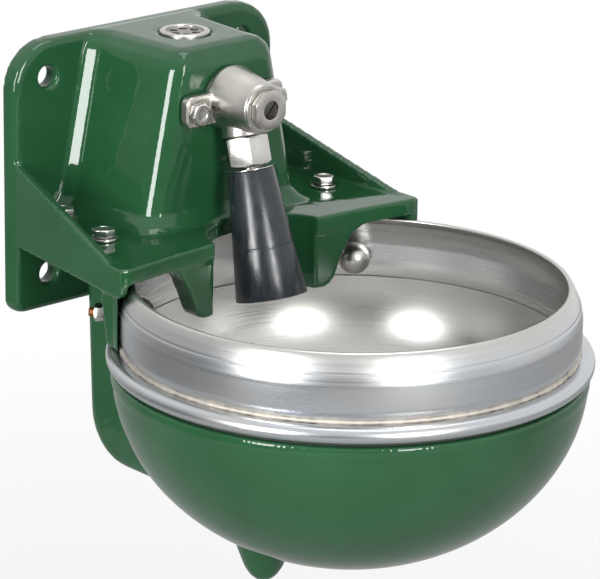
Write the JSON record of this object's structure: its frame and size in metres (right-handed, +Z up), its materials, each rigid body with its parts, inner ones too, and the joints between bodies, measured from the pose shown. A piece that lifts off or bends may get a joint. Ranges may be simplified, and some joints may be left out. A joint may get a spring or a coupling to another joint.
{
  "type": "livestock drinking bowl",
  "caption": "Wall-mounted drinking bowl for cattle or horses: enamelled bracket, stainless bowl in a cast shell, and a tube valve that the animal pushes to let water in.",
  "frame": {"origin": "centre of the four wall bolt holes, on the wall plane", "axes": "+X to the right for someone who faces the bowl, +Y into the wall, +Z up"},
  "size_m": [0.301, 0.3597, 0.324],
  "materials": {
    "green_enamel": "glossy dark green enamel on cast iron",
    "brushed_stainless": "satin brushed stainless steel",
    "cast_stainless": "satin cast stainless steel",
    "bright_zinc": "bright plated steel",
    "black_plastic": "glossy black moulded plastic",
    "black_rubber": "matt black rubber",
    "dark_steel": "dark steel",
    "brass": "turned brass"
  },
  "bodies": {
    "bowl_and_bracket": {"ball_bolt_left": "brushed_stainless", "ball_bolt_right": "brushed_stainless", "ball_washer_left": "black_rubber", "ball_washer_right": "black_rubber", "bowl_collar": "brushed_stainless", "bowl_dish": "brushed_stainless", "bracket_casting": "green_enamel", "cap_ring": "bright_zinc", "inlet_bush": "cast_stainless", "inlet_seal": "black_rubber", "inlet_strainer": "cast_stainless", "leg_nut_left": "bright_zinc", "leg_nut_right": "bright_zinc", "leg_washer_left": "bright_zinc", "leg_washer_right": "bright_zinc", "outer_shell": "green_enamel", "screw_seal": "black_rubber", "shelf_bolt_front_left": "bright_zinc", "shelf_bolt_front_right": "bright_zinc", "shelf_bolt_rear_left": "bright_zinc", "shelf_bolt_rear_right": "bright_zinc", "shelf_washer_front_left": "bright_zinc", "shelf_washer_front_right": "bright_zinc", "shelf_washer_rear_left": "bright_zinc", "shelf_washer_rear_right": "bright_zinc", "shell_gasket": "black_rubber", "union_nut": "bright_zinc", "valve_body": "cast_stainless", "valve_bolt_left": "bright_zinc", "valve_bolt_right": "bright_zinc", "valve_cap": "cast_stainless", "valve_gasket": "black_rubber", "valve_seat": "brass", "valve_spring": "brushed_stainless"},
    "regulating_spindle": {"regulating_screw": "dark_steel"},
    "rocking_ball": {"pivot_ball": "brushed_stainless"},
    "tube": {"tube_sleeve": "brushed_stainless", "drinking_tube": "black_plastic"},
    "pin": {"valve_pin": "brushed_stainless", "pin_seal": "black_rubber"}
  },
  "joints": [
    {"name": "regulating_screw_turn", "type": "hinge", "parent": "bowl_and_bracket", "child": "regulating_spindle", "pos_m": [0, -0.1315, 0.055], "axis": [0, 1, 0], "range_deg": [-360, 360]},
    {"name": "tube_push", "type": "hinge", "parent": "bowl_and_bracket", "child": "rocking_ball", "pos_m": [0, -0.11205, 0.02171], "axis": [1, 0, 0], "range_deg": [0, 6], "stiffness_Nm_per_rad": 2},
    {"name": "tube_sway", "type": "hinge", "parent": "rocking_ball", "child": "tube", "pos_m": [0, -0.11205, 0.02171], "axis": [0, 0.965, -0.2622], "range_deg": [-5, 5], "stiffness_Nm_per_rad": 2},
    {"name": "pin_lift", "type": "slide", "parent": "bowl_and_bracket", "child": "pin", "axis": [0, 0.2622, 0.965], "range_m": [0, 0.0008], "deforming": ["valve_spring"]}
  ],
  "couplings": [
    {"joint": "pin_lift", "follows": "tube_push", "m_per_rad": 0.0072}
  ]
}
